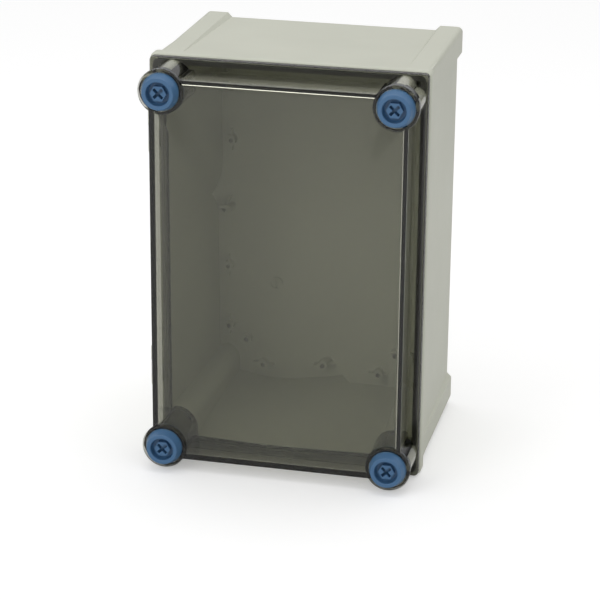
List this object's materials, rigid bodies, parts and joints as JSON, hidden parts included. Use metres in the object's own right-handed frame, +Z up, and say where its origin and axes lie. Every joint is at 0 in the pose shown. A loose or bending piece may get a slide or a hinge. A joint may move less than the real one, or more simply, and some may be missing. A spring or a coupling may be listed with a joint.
{
  "type": "hinged polycarbonate enclosure",
  "caption": "Wall-mounting plastic enclosure: deep light-grey base box, smoke see-through domed cover that swings on a side hinge, blue quarter-turn cover screws.",
  "frame": {"origin": "centre of the wall plane: the middle of the four wall-fixing holes, on the back faces of the feet", "axes": "+X to the right seen from the front, +Z up, +Y into the wall, so the cover faces -Y"},
  "size_m": [0.1932, 0.1718, 0.2824],
  "materials": {
    "light_grey_polycarbonate": "fine satin moulded surface",
    "smoke_polycarbonate": "glossy, smoke-tinted and see-through",
    "blue_polyamide": "half-gloss moulded",
    "zinc_steel": "zinc-plated, dull",
    "black_rubber": "matt",
    "grey_rubber": "matt"
  },
  "bodies": {
    "base": {"base_box": "light_grey_polycarbonate", "keeper_top_left": "zinc_steel", "keeper_top_right": "zinc_steel", "keeper_bottom_left": "zinc_steel", "keeper_bottom_right": "zinc_steel", "keeper_screws": "zinc_steel", "hinge_leaf_upper": "light_grey_polycarbonate", "hinge_leaf_lower": "light_grey_polycarbonate", "hinge_pin_upper": "zinc_steel", "hinge_pin_lower": "zinc_steel", "hinge_screws": "zinc_steel"},
    "cover": {"cover": "smoke_polycarbonate", "cover_gasket": "grey_rubber", "screw_seals": "black_rubber", "sleeve_top_left": "light_grey_polycarbonate", "sleeve_top_right": "light_grey_polycarbonate", "sleeve_bottom_left": "light_grey_polycarbonate", "sleeve_bottom_right": "light_grey_polycarbonate"},
    "turn_top_left": {"screw_top_left": "blue_polyamide", "clip_top_left": "zinc_steel"},
    "turn_top_right": {"screw_top_right": "blue_polyamide", "clip_top_right": "zinc_steel"},
    "turn_bottom_left": {"screw_bottom_left": "blue_polyamide", "clip_bottom_left": "zinc_steel"},
    "turn_bottom_right": {"screw_bottom_right": "blue_polyamide", "clip_bottom_right": "zinc_steel"}
  },
  "joints": [
    {"name": "cover_hinge", "type": "hinge", "parent": "base", "child": "cover", "pos_m": [-0.0965, -0.12, 0], "axis": [0, 0, -1], "range_deg": [0, 135]},
    {"name": "lock_top_left", "type": "hinge", "parent": "cover", "child": "turn_top_left", "pos_m": [-0.0773, -0.165, 0.1242], "axis": [0, 1, 0], "range_deg": [0, 90]},
    {"name": "lock_top_right", "type": "hinge", "parent": "cover", "child": "turn_top_right", "pos_m": [0.0773, -0.165, 0.1242], "axis": [0, 1, 0], "range_deg": [0, 90]},
    {"name": "lock_bottom_left", "type": "hinge", "parent": "cover", "child": "turn_bottom_left", "pos_m": [-0.0773, -0.165, -0.1242], "axis": [0, 1, 0], "range_deg": [0, 90]},
    {"name": "lock_bottom_right", "type": "hinge", "parent": "cover", "child": "turn_bottom_right", "pos_m": [0.0773, -0.165, -0.1242], "axis": [0, 1, 0], "range_deg": [0, 90]}
  ]
}
